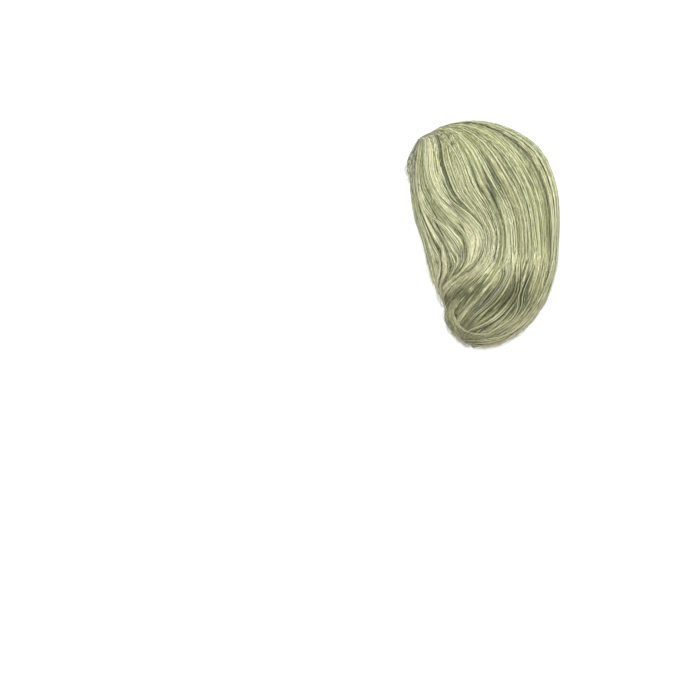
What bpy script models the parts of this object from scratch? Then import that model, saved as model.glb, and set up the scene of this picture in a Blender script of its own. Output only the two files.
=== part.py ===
"""A claw clip ponytail: a short, full hairpiece whose locks fall round a hidden claw clip.

+Z is up, +X points away from the head and -Y is the wearer's left. The origin is the seat, the
middle of the clip's mouth, where it grips the wearer's own hair. Lengths are in metres.
"""

import math
from collections import namedtuple
from types import SimpleNamespace

import bmesh
import bpy
from mathutils import Vector

# The hair as it hangs when worn
HAIR_DEPTH = 0.1475
HAIR_HEIGHT = 0.2200
HAIR_WIDTH = 0.1200
HAIR_AHEAD = 0.0225
HAIR_DROP = 0.1405

# Locks and the wefts that they are sewn in
LOCK_RELIEF = 0.0028
STEEPEST_LOCK = 0.25  # how far a lock stands out, at most, as a share of its width
FRONT_WEFT_LIFT = 0.0016
WEFT_GAP = 0.0004
THIN_CORE = 0.12  # the inner weft's core as a share of the hair's radius, high up
FULL_CORE = 0.32  # and lower down, where the wefts thin out round it
CORE_FIT = 0.92  # the core's size in the flat-sided room that the wefts leave for it
NAPE_HOLLOW = 0.0090

# The claw clip, in its own frame: X out of the head, Z up along the spine
CLIP_TILT = math.radians(22)
CLIP_LENGTH = 0.0720
JAW_RADIUS = 0.0190
JAW_WALL = 0.0022
MOUTH_GAP = 0.0090
SPINE_RADIUS = 0.0045
SPINE_LENGTH = 0.0600
TOOTH_COUNT = 7
TOOTH_SLOT = 0.0046
TOOTH_LENGTH = 0.0150
TAB_WIDTH = 0.0220
TAB_HEIGHT = 0.0130
TAB_WALL = 0.0024
TAB_GAP = 0.0012
TAB_SPREAD = math.radians(24)
SPINE_CORNER = math.radians(38)  # how far round its arc a jaw's corner is cut back, at the spine
MOUTH_CORNER = math.radians(26)  # and at the mouth
CLIP_CLEARANCE = 0.0005

# How finely the hair is built
STATIONS = 34
POINTS_IN_LOCK = 4
CORE_POINTS = 5
NAPE_POINTS = 12

# Each section runs across the hair, from its front edge to its back, on the way from the
# roots to the tips. Places are shares of the reach and height, and half_width is one of the
# half width. front_width says how far the front edges stand apart, as a share of half_width.
# gather bunches the locks towards the back where it is under 1. tuck draws the locks at the
# front round to the nape.
Section = namedtuple(
    "Section", "front_x front_z back_x back_z half_width front_width gather tuck"
)
SECTIONS = (
    Section(0.040, 0.875, 0.175, 0.955, 0.16, 0.05, 0.36, 0.0),
    Section(0.005, 0.810, 0.282, 0.985, 0.44, 0.08, 0.45, 0.0),
    Section(0.012, 0.732, 0.471, 1.000, 0.67, 0.38, 0.68, 0.0),
    Section(0.032, 0.656, 0.674, 0.965, 0.82, 0.48, 0.85, 0.0),
    Section(0.066, 0.557, 0.876, 0.871, 0.92, 0.50, 0.98, 0.0),
    Section(0.107, 0.463, 0.978, 0.714, 0.98, 0.50, 0.93, 0.0),
    Section(0.154, 0.369, 1.000, 0.557, 1.00, 0.50, 0.87, 0.5),
    Section(0.194, 0.279, 0.978, 0.405, 0.97, 0.48, 0.85, 2.0),
    Section(0.228, 0.194, 0.917, 0.216, 0.86, 0.44, 0.95, 8.0),
    Section(0.269, 0.113, 0.762, 0.078, 0.67, 0.40, 1.10, 20.0),
    Section(0.343, 0.046, 0.580, 0.012, 0.44, 0.36, 1.30, 40.0),
    Section(0.405, 0.018, 0.485, 0.003, 0.24, 0.34, 1.40, 50.0),
)
WIDEST = 0.42  # where a section is widest, as a share of the way from its front to its back

# Each weft spans the lines from first to last, where 0 is the front edge and 1 the middle of
# the back. tip says where on the run it ends, and locks where its locks part.
Weft = namedtuple("Weft", "name first last tip lift locks")
WEFTS = (
    Weft("front_weft", 0.00, 0.37, 0.76, FRONT_WEFT_LIFT, (0.00, 0.36, 0.70, 1.00)),
    Weft("middle_weft", 0.37, 0.63, 0.92, 0.0, (0.00, 0.54, 1.00)),
    Weft("back_weft", 0.63, 1.00, 1.00, 0.0, (0.00, 0.30, 0.66, 1.00)),
)
SIDES = {"left": -1, "right": 1}
INNER_WEFT_START = 0.50
ROOT_SIZE = 0.86  # the hair's radius at its very roots, as a share of the full one
ROOT_FADE = 0.06
TIP_SIZE = 0.78
TIP_FADE = 0.12

Finish = namedtuple("Finish", "name colour roughness")
GREY_HAIR = Finish("grey_hair", (0.42, 0.42, 0.28), 0.45)
UNDER_HAIR = Finish("under_hair", (0.26, 0.26, 0.18), 0.60)
CLIP_PLASTIC = Finish("clip_plastic", (0.05, 0.05, 0.045), 0.35)


def clear_scene():
    for item in list(bpy.data.objects):
        bpy.data.objects.remove(item, do_unlink=True)


def material(finish):
    found = bpy.data.materials.get(finish.name)
    if found:
        return found
    made = bpy.data.materials.new(finish.name)
    made.use_nodes = True
    shader = made.node_tree.nodes["Principled BSDF"]
    shader.inputs["Base Color"].default_value = (*finish.colour, 1.0)
    shader.inputs["Roughness"].default_value = finish.roughness
    shader.inputs["Metallic"].default_value = 0.0
    return made


def add_object(name, mesh, finish=None, parent=None):
    item = bpy.data.objects.new(name, mesh)
    bpy.context.scene.collection.objects.link(item)
    item.parent = parent
    if finish:
        mesh.materials.append(material(finish))
    return item


def add_helper(name, mesh, parent):
    """A shape that only cuts or joins: it isn't a piece of its own."""
    item = add_object(name, mesh, parent=parent)
    item.hide_render = True
    item.display_type = "WIRE"
    return item


def combine(item, other, operation):
    step = item.modifiers.new(f"{operation.lower()}_{other.name}", "BOOLEAN")
    step.operation = operation
    step.solver = "EXACT"
    step.object = other


def smooth_step(value):
    value = min(max(value, 0.0), 1.0)
    return value * value * (3 - 2 * value)


def mix(low, high, share):
    return low + (high - low) * share


def through_four(share, before, low, high, after):
    """A smooth curve from low to high that heads for their neighbours."""
    slope_low = (high - before) / 2
    slope_high = (after - low) / 2
    cube = 2 * (low - high) + slope_low + slope_high
    square = 3 * (high - low) - 2 * slope_low - slope_high
    return ((cube * share + square) * share + slope_low) * share + low


def rounding(run):
    """How much of its full radius the hair has here: it rounds off at its roots and tips."""
    return mix(ROOT_SIZE, 1.0, smooth_step(run / ROOT_FADE)) * mix(
        TIP_SIZE, 1.0, smooth_step((1 - run) / TIP_FADE)
    )


def section_at(run):
    """The hair's section at a share of the run, ready to place points in."""
    last = len(SECTIONS) - 1
    place = run * last
    low = min(int(place), last - 1)
    rows = [SECTIONS[min(max(low + step, 0), last)] for step in (-1, 0, 1, 2)]
    row = Section(*(through_four(place - low, *column) for column in zip(*rows)))
    front = Vector((HAIR_DEPTH * row.front_x, 0, HAIR_HEIGHT * row.front_z))
    back = Vector((HAIR_DEPTH * row.back_x, 0, HAIR_HEIGHT * row.back_z))
    length = (back - front).length
    corner = Vector((-HAIR_AHEAD, 0, -HAIR_DROP))
    half_width = row.half_width * HAIR_WIDTH / 2
    front_reach = length * WIDEST
    back_reach = length * (1 - WIDEST)
    fullness = smooth_step(half_width / (0.4 * HAIR_WIDTH))
    core_share = mix(THIN_CORE, FULL_CORE, smooth_step((run - 0.4) / 0.1))
    return SimpleNamespace(
        run=run,
        core=corner + front.lerp(back, WIDEST),
        along=(back - front).normalized(),
        front_reach=front_reach,
        back_reach=back_reach,
        half_width=half_width,
        front_angle=math.acos(row.front_width),
        gather=row.gather,
        tuck=row.tuck,
        core_radius=core_share * min(front_reach, half_width),
        fullness=fullness,
        relief=LOCK_RELIEF * fullness,
        size=rounding(run),
    )


def place(section, flat, side):
    """A flat point of a section, along it and out to one side, put in the frame."""
    return section.core + section.along * flat.x + Vector((0, side * flat.y, 0))


def skin(section, line):
    """Where a line of the combing crosses the section: a flat point on the hair's outside."""
    pull = section.gather + section.tuck * (1 - line) ** 3
    angle = mix(-section.front_angle, math.pi / 2, line**pull)
    if angle < 0:
        along = section.front_reach * math.sin(angle) / math.sin(section.front_angle)
    else:
        along = section.back_reach * math.sin(angle)
    return Vector((along, section.half_width * math.cos(angle)))


def towards_back(outward):
    return Vector((outward.y, -outward.x))


def base_radius(section, flat):
    """How far out the partings lie. Two wefts that touch share this, so their walls match."""
    return max(flat.length * section.size - section.relief, 0.5 * flat.length)


def wall(section, flat, gap_side):
    """A weft's radial wall, from its core to its skin, half a gap to one side."""
    direction = flat.normalized()
    aside = towards_back(direction) * gap_side * WEFT_GAP / 2
    return direction * section.core_radius + aside, direction * base_radius(section, flat) + aside


def weft_ring(section, weft, side):
    """One closed ring of a weft: its locks on the outside, then back along the core."""
    fade = smooth_step((weft.tip - section.run) / TIP_FADE)
    first_core, first_skin = wall(section, skin(section, weft.first), 1)
    last_core, last_skin = wall(section, skin(section, weft.last), -1)
    outer = []
    for start, end in zip(weft.locks, weft.locks[1:]):
        first, last = (mix(weft.first, weft.last, edge) for edge in (start, end))
        width = (skin(section, last) - skin(section, first)).length
        rise = min(section.relief + weft.lift * section.fullness, STEEPEST_LOCK * width)
        for step in range(POINTS_IN_LOCK):
            across = step / POINTS_IN_LOCK
            flat = skin(section, mix(first, last, across))
            height = rise * fade * (1 - abs(2 * across - 1) ** 3)
            outer.append(flat.normalized() * (base_radius(section, flat) + height))
    outer[0] = first_skin
    outer.append(last_skin)
    inner = [first_core]
    for step in range(1, CORE_POINTS - 1):
        flat = skin(section, mix(weft.first, weft.last, step / (CORE_POINTS - 1)))
        inner.append(flat.normalized() * section.core_radius)
    inner.append(last_core)
    return [place(section, flat, side) for flat in outer + inner[::-1]]


def inner_ring(section):
    """One closed ring of the inner weft: the hollow nape side, then round the core."""
    edge_core, corner = wall(section, skin(section, 0.0), -1)
    hollow = NAPE_HOLLOW * section.fullness
    ring = []
    for step in range(NAPE_POINTS + 1):
        across = mix(-1.0, 1.0, step / NAPE_POINTS)
        groove = abs(math.sin(2 * math.pi * across)) * (1 - abs(across))
        inward = hollow * (1 - across * across) + section.relief * groove
        flat = Vector((corner.x + inward, corner.y * abs(across)))
        ring.append(place(section, flat, -1 if across < 0 else 1))
    radius = section.core_radius * CORE_FIT - WEFT_GAP
    start = math.atan2(edge_core.y, edge_core.x)
    for step in range(2 * CORE_POINTS + 1):
        angle = mix(start, -start, step / (2 * CORE_POINTS))
        flat = Vector((math.cos(angle), math.sin(angle))) * radius
        ring.append(place(section, flat, 1))
    return ring


def loft(name, rings, turn, finish):
    """A closed solid through rings that all have as many points, capped at both ends.

    turn is where the rings turn in from the skin to the core. The walls there and at the
    rings' start are split the same way as their neighbours', from a core point up to the
    next ring's skin point.
    """
    shape = bmesh.new()
    loops = [[shape.verts.new(point) for point in ring] for ring in rings]
    count = len(rings[0])
    for low, high in zip(loops, loops[1:]):
        for at in range(count):
            beside = (at + 1) % count
            if at == turn:
                shape.faces.new((low[at], low[beside], high[at]))
                shape.faces.new((low[beside], high[beside], high[at]))
            elif beside == 0:
                shape.faces.new((low[at], low[beside], high[beside]))
                shape.faces.new((low[at], high[beside], high[at]))
            else:
                shape.faces.new((low[at], low[beside], high[beside], high[at]))
    shape.faces.new(loops[0])
    shape.faces.new(loops[-1])
    bmesh.ops.recalc_face_normals(shape, faces=shape.faces)
    bmesh.ops.triangulate(
        shape, faces=shape.faces, quad_method="SHORT_EDGE", ngon_method="EAR_CLIP"
    )
    mesh = bpy.data.meshes.new(name)
    shape.to_mesh(mesh)
    shape.free()
    mesh.shade_smooth()
    mesh.set_sharp_from_angle(angle=math.radians(50))
    return add_object(name, mesh, finish)


def runs_between(start, end):
    """The shares of the run where a weft is built. Neighbours use the same ones."""
    steps = range(round(start * STATIONS), round(end * STATIONS) + 1)
    return [step / STATIONS for step in steps]


def add_wefts():
    wefts = []
    for side_name, side in SIDES.items():
        for weft in WEFTS:
            runs = runs_between(0.0, weft.tip)
            rings = [weft_ring(section_at(run), weft, side) for run in runs]
            turn = POINTS_IN_LOCK * (len(weft.locks) - 1)
            wefts.append(loft(f"{side_name}_{weft.name}", rings, turn, GREY_HAIR))
    rings = [inner_ring(section_at(run)) for run in runs_between(INNER_WEFT_START, 1.0)]
    wefts.append(loft("inner_weft", rings, NAPE_POINTS, UNDER_HAIR))
    return wefts


def box_mesh(name, low, high, lean=0.0):
    """A box between two corners, leaning outwards about its foot on the low X side."""
    shape = bmesh.new()
    bmesh.ops.create_cube(shape, size=1.0)
    low, high = Vector(low), Vector(high)
    for vert in shape.verts:
        vert.co = low + Vector((vert.co[i] + 0.5) * (high - low)[i] for i in range(3))
        height = vert.co.x - low.x
        vert.co.x = low.x + height * math.cos(lean)
        vert.co.y += height * math.sin(lean)
    mesh = bpy.data.meshes.new(name)
    shape.to_mesh(mesh)
    shape.free()
    return mesh


def prism_mesh(name, outline, length):
    """A flat outline in X and Y, drawn out along Z to both sides of the origin."""
    shape = bmesh.new()
    foot = shape.faces.new([shape.verts.new((x, y, -length / 2)) for x, y in outline])
    drawn = bmesh.ops.extrude_face_region(shape, geom=[foot])["geom"]
    moved = [item for item in drawn if isinstance(item, bmesh.types.BMVert)]
    bmesh.ops.translate(shape, verts=moved, vec=(0, 0, length))
    bmesh.ops.recalc_face_normals(shape, faces=shape.faces)
    mesh = bpy.data.meshes.new(name)
    shape.to_mesh(mesh)
    shape.free()
    return mesh


def arc(centre, radius, start, end, steps):
    angles = [mix(start, end, step / steps) for step in range(steps + 1)]
    return [(centre + radius * math.cos(a), radius * math.sin(a)) for a in angles]


def mouth_angle():
    """Where on its arc a jaw ends, so that the rows of teeth stand MOUTH_GAP apart."""
    return math.pi - math.asin((MOUTH_GAP + JAW_WALL) / 2 / JAW_RADIUS)


def jaw_centre():
    return -JAW_RADIUS * math.cos(mouth_angle())


def spine_place():
    return jaw_centre() + JAW_RADIUS


def jaw_mesh(name, side):
    """The middle surface of a curved jaw, with rounded corners."""
    across, along = 16, 18
    spine_edge = math.asin(0.5 * SPINE_RADIUS / JAW_RADIUS)
    shape = bmesh.new()
    rows = []
    for step in range(along + 1):
        share = mix(-1.0, 1.0, step / along)
        start = spine_edge + SPINE_CORNER * abs(share) ** 8
        end = mouth_angle() - MOUTH_CORNER * abs(share) ** 6
        outline = arc(jaw_centre(), JAW_RADIUS, start, end, across)
        height = share * CLIP_LENGTH / 2
        rows.append([shape.verts.new((x, side * y, height)) for x, y in outline])
    for low, high in zip(rows, rows[1:]):
        for at in range(across):
            shape.faces.new((low[at], low[at + 1], high[at + 1], high[at]))
    bmesh.ops.recalc_face_normals(shape, faces=shape.faces)
    mesh = bpy.data.meshes.new(name)
    shape.to_mesh(mesh)
    shape.free()
    return mesh


def slot_mesh(name, side):
    """The slots between one jaw's teeth. The two rows are half a tooth apart."""
    pitch = CLIP_LENGTH / TOOTH_COUNT
    shift = 0.25 * pitch * side
    far = JAW_RADIUS + JAW_WALL
    shape = bmesh.new()
    for tooth in range(1, TOOTH_COUNT):
        middle = -CLIP_LENGTH / 2 + tooth * pitch + shift
        cube = bmesh.ops.create_cube(shape, size=1.0)["verts"]
        bmesh.ops.scale(shape, verts=cube, vec=(2 * TOOTH_LENGTH, far, TOOTH_SLOT))
        bmesh.ops.translate(shape, verts=cube, vec=(0, side * 0.51 * far, middle))
    mesh = bpy.data.meshes.new(name)
    shape.to_mesh(mesh)
    shape.free()
    return mesh


def add_claw_clip(seat):
    spine = prism_mesh(
        "claw_clip", arc(spine_place(), SPINE_RADIUS, 0, math.tau, 20)[:-1], SPINE_LENGTH
    )
    clip = add_object("claw_clip", spine, CLIP_PLASTIC, seat)
    for side_name, side in SIDES.items():
        jaw = add_helper(f"{side_name}_jaw", jaw_mesh(f"{side_name}_jaw", side), seat)
        wall = jaw.modifiers.new("wall", "SOLIDIFY")
        wall.thickness = JAW_WALL
        wall.offset = 0.0
        slots = add_helper(f"{side_name}_slots", slot_mesh(f"{side_name}_slots", side), seat)
        combine(jaw, slots, "DIFFERENCE")
        combine(clip, jaw, "UNION")
        foot = spine_place()
        lean = side * TAB_SPREAD
        near, far = sorted((side * TAB_GAP / 2, side * (TAB_GAP / 2 + TAB_WALL)))
        low = (foot, near, -TAB_WIDTH / 2)
        high = (foot + SPINE_RADIUS + TAB_HEIGHT, far, TAB_WIDTH / 2)
        tab = add_helper(f"{side_name}_tab", box_mesh(f"{side_name}_tab", low, high, lean), seat)
        combine(clip, tab, "UNION")
    clip.data.shade_smooth()
    clip.data.set_sharp_from_angle(angle=math.radians(35))
    return clip


def add_clip_room(seat):
    """The room that the hair leaves: round the jaws and out to the head, spine and tabs."""
    room = JAW_RADIUS + JAW_WALL / 2 + CLIP_CLEARANCE
    ahead = -(HAIR_AHEAD + HAIR_DEPTH)
    outline = [(ahead, -room)] + arc(jaw_centre(), room, -math.pi / 2, math.pi / 2, 24)
    length = CLIP_LENGTH + 2 * CLIP_CLEARANCE
    jaw_room = prism_mesh("jaw_room", outline + [(ahead, room)], length)
    spine = arc(spine_place(), SPINE_RADIUS + CLIP_CLEARANCE, 0, math.tau, 24)[:-1]
    spine_room = prism_mesh("spine_room", spine, SPINE_LENGTH + 2 * CLIP_CLEARANCE)
    tab_reach = SPINE_RADIUS + TAB_HEIGHT
    half = tab_reach * math.sin(TAB_SPREAD) + TAB_WALL + TAB_GAP / 2 + CLIP_CLEARANCE
    deep = TAB_WIDTH / 2 + CLIP_CLEARANCE
    top = spine_place() + tab_reach * math.cos(TAB_SPREAD) + CLIP_CLEARANCE
    tab_room = box_mesh("tab_room", (jaw_centre(), -half, -deep), (top, half, deep))
    return [add_helper(mesh.name, mesh, seat) for mesh in (jaw_room, spine_room, tab_room)]


def main():
    clear_scene()
    seat = bpy.data.objects.new("clip_seat", None)
    bpy.context.scene.collection.objects.link(seat)
    seat.rotation_euler = (0, -CLIP_TILT, 0)
    wefts = add_wefts()
    add_claw_clip(seat)
    rooms = add_clip_room(seat)
    for weft in wefts:
        for room in rooms:
            combine(weft, room, "DIFFERENCE")


main()
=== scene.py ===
# Claw clip ponytail, dressed: combed strands over a soft under layer, round the plastic claw.
# +Z is up, +X points away from the head, and the camera looks along +Y. Lengths are in metres.
import math
from functools import partial

import bmesh
import bpy
import numpy as np
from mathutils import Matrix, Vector
from mathutils.bvhtree import BVHTree


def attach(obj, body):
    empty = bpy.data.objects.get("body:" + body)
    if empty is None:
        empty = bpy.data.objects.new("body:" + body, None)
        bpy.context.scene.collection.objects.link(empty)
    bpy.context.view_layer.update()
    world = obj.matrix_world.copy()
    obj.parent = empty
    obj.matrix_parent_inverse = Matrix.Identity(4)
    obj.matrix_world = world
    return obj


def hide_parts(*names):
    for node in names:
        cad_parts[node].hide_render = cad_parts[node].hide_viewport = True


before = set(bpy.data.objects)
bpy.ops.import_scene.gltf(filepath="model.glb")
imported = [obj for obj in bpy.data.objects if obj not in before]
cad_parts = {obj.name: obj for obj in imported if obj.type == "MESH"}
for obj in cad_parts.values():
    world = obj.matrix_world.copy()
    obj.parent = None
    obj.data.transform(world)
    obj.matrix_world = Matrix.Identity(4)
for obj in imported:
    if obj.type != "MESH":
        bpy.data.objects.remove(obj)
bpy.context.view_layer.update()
print("frame loaded:", len(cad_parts), "nodes")

for leftover in [o for o in bpy.data.objects if o.type in {"CAMERA", "LIGHT"}]:
    bpy.data.objects.remove(leftover)


# The shape that the hair is combed over

hairShape = {
    "reach": 0.1475, "height": 0.2200, "width": 0.1200,
    "ahead": 0.0225,  # how far the front stands ahead of the seat
    "drop": 0.1405,  # how far the tips hang below the seat
    "widest": 0.42,  # as a share of the way from front to back
    "middle": (0.045, 0.0, -0.03),  # faces turn away from here
    "partingDepth": 0.0028,
    "frontLift": 0.0016,  # how much prouder the front locks lie
    "steepestLock": 0.25,  # a lock's greatest height, as a share of its width
    "fullShare": 0.4,  # the share of the width from which the locks have their full height
    "leastShare": 0.5,
    "lockFade": 0.12,
}

# How the hair draws in at its roots and tips, and how it closes over past them
hairEnds = {
    "rootShare": 0.86, "rootRun": 0.06,
    "tipShare": 0.78, "tipRun": 0.12,
    "closingRun": 0.05, "closed": 0.9995,
    "rootWay": (-0.52, 0, 0.85), "rootBulge": 0.0035,
    "tipWay": (-0.10, 0, -0.99), "tipBulge": 0.0030,
}

# Front X and Z, back X and Z, half width, front width, gather and tuck, from roots to tips
sectionTable = np.array([
    (0.040, 0.875, 0.175, 0.955, 0.16, 0.05, 0.36, 0.0),
    (0.005, 0.810, 0.282, 0.985, 0.44, 0.08, 0.45, 0.0),
    (0.012, 0.732, 0.471, 1.000, 0.67, 0.38, 0.68, 0.0),
    (0.032, 0.656, 0.674, 0.965, 0.82, 0.48, 0.85, 0.0),
    (0.066, 0.557, 0.876, 0.871, 0.92, 0.50, 0.98, 0.0),
    (0.107, 0.463, 0.978, 0.714, 0.98, 0.50, 0.93, 0.0),
    (0.154, 0.369, 1.000, 0.557, 1.00, 0.50, 0.87, 0.5),
    (0.194, 0.279, 0.978, 0.405, 0.97, 0.48, 0.85, 2.0),
    (0.228, 0.194, 0.917, 0.216, 0.86, 0.44, 0.95, 8.0),
    (0.269, 0.113, 0.762, 0.078, 0.67, 0.40, 1.10, 20.0),
    (0.343, 0.046, 0.580, 0.012, 0.44, 0.36, 1.30, 40.0),
    (0.405, 0.018, 0.485, 0.003, 0.24, 0.34, 1.40, 50.0),
])

# Where strands of these partings lie on their way from roots to tips. Behind the temple they
# sweep back, gather in an S shaped lock and turn forwards again. The rows leave out the first and
# the last parting, which stay put.
partings = (0.0, 0.012, 0.030, 0.055, 0.090, 0.130, 0.180, 0.240, 0.300, 0.370, 0.50, 0.63, 0.80, 1.0)
combingTable = np.array([
    (0.050, 0.085, 0.120, 0.170, 0.240, 0.310, 0.380, 0.450, 0.500, 0.585, 0.685, 0.832),
    (0.050, 0.085, 0.120, 0.170, 0.235, 0.300, 0.370, 0.440, 0.485, 0.572, 0.677, 0.826),
    (0.045, 0.078, 0.110, 0.155, 0.220, 0.285, 0.350, 0.418, 0.455, 0.550, 0.663, 0.815),
    (0.035, 0.062, 0.089, 0.128, 0.190, 0.255, 0.320, 0.382, 0.420, 0.525, 0.645, 0.805),
    (0.030, 0.055, 0.080, 0.118, 0.172, 0.228, 0.290, 0.350, 0.390, 0.508, 0.633, 0.801),
    (0.030, 0.055, 0.082, 0.125, 0.180, 0.230, 0.285, 0.340, 0.378, 0.502, 0.630, 0.800),
    (0.030, 0.063, 0.100, 0.160, 0.215, 0.252, 0.298, 0.345, 0.376, 0.500, 0.630, 0.800),
    (0.030, 0.072, 0.118, 0.195, 0.252, 0.283, 0.317, 0.355, 0.380, 0.500, 0.630, 0.800),
    (0.030, 0.070, 0.125, 0.215, 0.287, 0.312, 0.338, 0.366, 0.388, 0.500, 0.630, 0.800),
    (0.045, 0.100, 0.175, 0.265, 0.327, 0.345, 0.364, 0.386, 0.402, 0.502, 0.630, 0.800),
    (0.070, 0.150, 0.240, 0.305, 0.337, 0.362, 0.383, 0.402, 0.418, 0.507, 0.633, 0.800),
    (0.100, 0.190, 0.272, 0.315, 0.338, 0.358, 0.380, 0.402, 0.422, 0.520, 0.645, 0.806),
    (0.100, 0.175, 0.235, 0.275, 0.297, 0.318, 0.344, 0.384, 0.415, 0.548, 0.670, 0.825),
    (0.080, 0.135, 0.180, 0.213, 0.240, 0.270, 0.308, 0.360, 0.405, 0.570, 0.703, 0.843),
    (0.060, 0.105, 0.145, 0.180, 0.210, 0.245, 0.290, 0.350, 0.410, 0.588, 0.725, 0.851),
    (0.050, 0.090, 0.130, 0.170, 0.205, 0.245, 0.290, 0.350, 0.425, 0.600, 0.730, 0.851),
    (0.050, 0.090, 0.130, 0.170, 0.205, 0.245, 0.290, 0.355, 0.440, 0.602, 0.725, 0.850),
    (0.050, 0.090, 0.130, 0.170, 0.205, 0.245, 0.290, 0.360, 0.450, 0.600, 0.720, 0.850),
    (0.050, 0.090, 0.130, 0.170, 0.205, 0.245, 0.290, 0.360, 0.450, 0.600, 0.720, 0.850),
])

# Loose locks that lie over the others: the lines and the runs of their path, half width, height
looseLocks = {
    "swept_lock": (
        (0.352, 0.345, 0.352, 0.36, 0.372, 0.392, 0.404, 0.4, 0.365, 0.325),
        (0.24, 0.3, 0.36, 0.42, 0.47, 0.52, 0.57, 0.62, 0.67, 0.73),
        0.018, 0.0018,
    ),
    "crossed_lock": (
        (0.225, 0.232, 0.262, 0.297, 0.33, 0.358, 0.376, 0.362, 0.305, 0.235),
        (0.24, 0.3, 0.355, 0.41, 0.46, 0.505, 0.55, 0.6, 0.66, 0.73),
        0.022, 0.002,
    ),
    "turned_lock": (
        (0.372, 0.385, 0.398, 0.413, 0.417, 0.425, 0.43, 0.47, 0.56, 0.64, 0.7, 0.735, 0.75, 0.755),
        (0.4, 0.48, 0.54, 0.608, 0.647, 0.695, 0.745, 0.79, 0.845, 0.876, 0.874, 0.85, 0.815, 0.775),
        0.03, 0.0012,
    ),
    "temple_lock": (
        (0.078, 0.085, 0.105, 0.14, 0.18, 0.225, 0.268, 0.292),
        (0.22, 0.29, 0.35, 0.41, 0.46, 0.51, 0.56, 0.6),
        0.016, 0.0012,
    ),
    "edge_lock": (
        (0.022, 0.02, 0.024, 0.034, 0.06, 0.085, 0.08, 0.062),
        (0.16, 0.26, 0.36, 0.45, 0.53, 0.6, 0.67, 0.74),
        0.016, 0.0014,
    ),
    "side_lock": (
        (0.47, 0.5, 0.517, 0.552, 0.573, 0.588, 0.59, 0.603, 0.61),
        (0.48, 0.58, 0.628, 0.662, 0.703, 0.743, 0.782, 0.83, 0.87),
        0.022, 0.0016,
    ),
    "rear_lock": (
        (0.545, 0.557, 0.625, 0.647, 0.655, 0.652, 0.635, 0.62, 0.61),
        (0.56, 0.635, 0.698, 0.738, 0.78, 0.823, 0.855, 0.9, 0.95),
        0.026, 0.0016,
    ),
    "nape_lock": (
        (0.66, 0.67, 0.723, 0.743, 0.73, 0.726, 0.72),
        (0.6, 0.7, 0.75, 0.785, 0.825, 0.868, 0.93),
        0.024, 0.0014,
    ),
    "crown_lock": (
        (0.395, 0.385, 0.38, 0.378, 0.375, 0.385, 0.395),
        (0.06, 0.14, 0.22, 0.32, 0.42, 0.52, 0.58),
        0.014, 0.001,
    ),
    "rim_lock": (
        (0.3, 0.36, 0.405, 0.422, 0.438, 0.49, 0.58, 0.67, 0.74, 0.79, 0.82, 0.83),
        (0.7, 0.76, 0.81, 0.86, 0.905, 0.937, 0.95, 0.938, 0.905, 0.87, 0.83, 0.785),
        0.044, 0.0012,
    ),
    "lower_rim_lock": (
        (0.37, 0.39, 0.425, 0.5, 0.61, 0.72, 0.79, 0.84, 0.86),
        (0.86, 0.91, 0.96, 0.995, 1.01, 0.995, 0.96, 0.915, 0.86),
        0.04, 0.001,
    ),
    "back_lock": (
        (0.8, 0.82, 0.85, 0.865, 0.85, 0.825, 0.815, 0.83),
        (0.1, 0.22, 0.34, 0.46, 0.58, 0.7, 0.82, 0.92),
        0.03, 0.0014,
    ),
    "spine_lock": (
        (0.96, 0.945, 0.92, 0.905, 0.915, 0.935, 0.93),
        (0.16, 0.3, 0.44, 0.56, 0.68, 0.8, 0.9),
        0.034, 0.0014,
    ),
    "lower_back_lock": (
        (0.86, 0.885, 0.9, 0.885, 0.855, 0.84),
        (0.52, 0.6, 0.68, 0.76, 0.84, 0.92),
        0.026, 0.0016,
    ),
    "temple_wisps": (
        (0.02, 0.022, 0.03, 0.04, 0.04, 0.03),
        (0.34, 0.42, 0.5, 0.58, 0.66, 0.74),
        0.02, 0.001,
    ),
    "crown_wisps": (
        (0.04, 0.034, 0.03, 0.028, 0.026),
        (0.0, 0.05, 0.1, 0.15, 0.2),
        0.04, 0.0008,
    ),
    "nape_wisps": (
        (0.3, 0.35, 0.42, 0.48, 0.52),
        (0.7, 0.76, 0.82, 0.88, 0.94),
        0.06, 0.001,
    ),
}

wefts = {
    "front_weft": {
        "first": 0.00, "last": 0.37, "tip": 0.76, "end": 0.78, "locks": (0.0, 0.36, 0.70, 1.0),
        "crowding": 1.35,
    },
    "middle_weft": {"first": 0.37, "last": 0.63, "tip": 0.92, "end": 1.04, "locks": (0.0, 0.54, 1.0)},
    "back_weft": {"first": 0.63, "last": 1.00, "tip": 1.00, "end": 1.05, "locks": (0.0, 0.30, 0.66, 1.0)},
}
sides = {"left": -1, "right": 1}


def smoothStep(value):
    value = np.clip(value, 0, 1)
    return value * value * (3 - 2 * value)


def bump(value, middle, reach):
    return np.exp(-(((value - middle) / reach) ** 2))


def placed(name, data):
    piece = bpy.data.objects.new(name, data)
    bpy.context.scene.collection.objects.link(piece)
    return piece


def grid(runs, lines):
    return np.meshgrid(runs, lines, indexing="ij")


def throughRows(table, run):
    # a smooth curve through the rows of a table that are evenly spaced down the run
    last = len(table) - 1
    place = np.clip(run, 0, 1) * last
    low = np.minimum(place.astype(int), last - 1)
    share = (place - low)[..., None]
    before, start, end, after = (table[np.clip(low + s, 0, last)] for s in (-1, 0, 1, 2))
    slopeStart, slopeEnd = (end - before) / 2, (after - start) / 2
    cube = 2 * (start - end) + slopeStart + slopeEnd
    square = 3 * (end - start) - 2 * slopeStart - slopeEnd
    return ((cube * share + square) * share + slopeStart) * share + start


def strandLine(parting, run):
    # the line of the section that a strand lies on here: the brush has swept it off its own
    rows = throughRows(combingTable, run[:, 0])
    return np.stack([np.interp(parting[0], partings, (0.0, *row, 1.0)) for row in rows])


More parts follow.
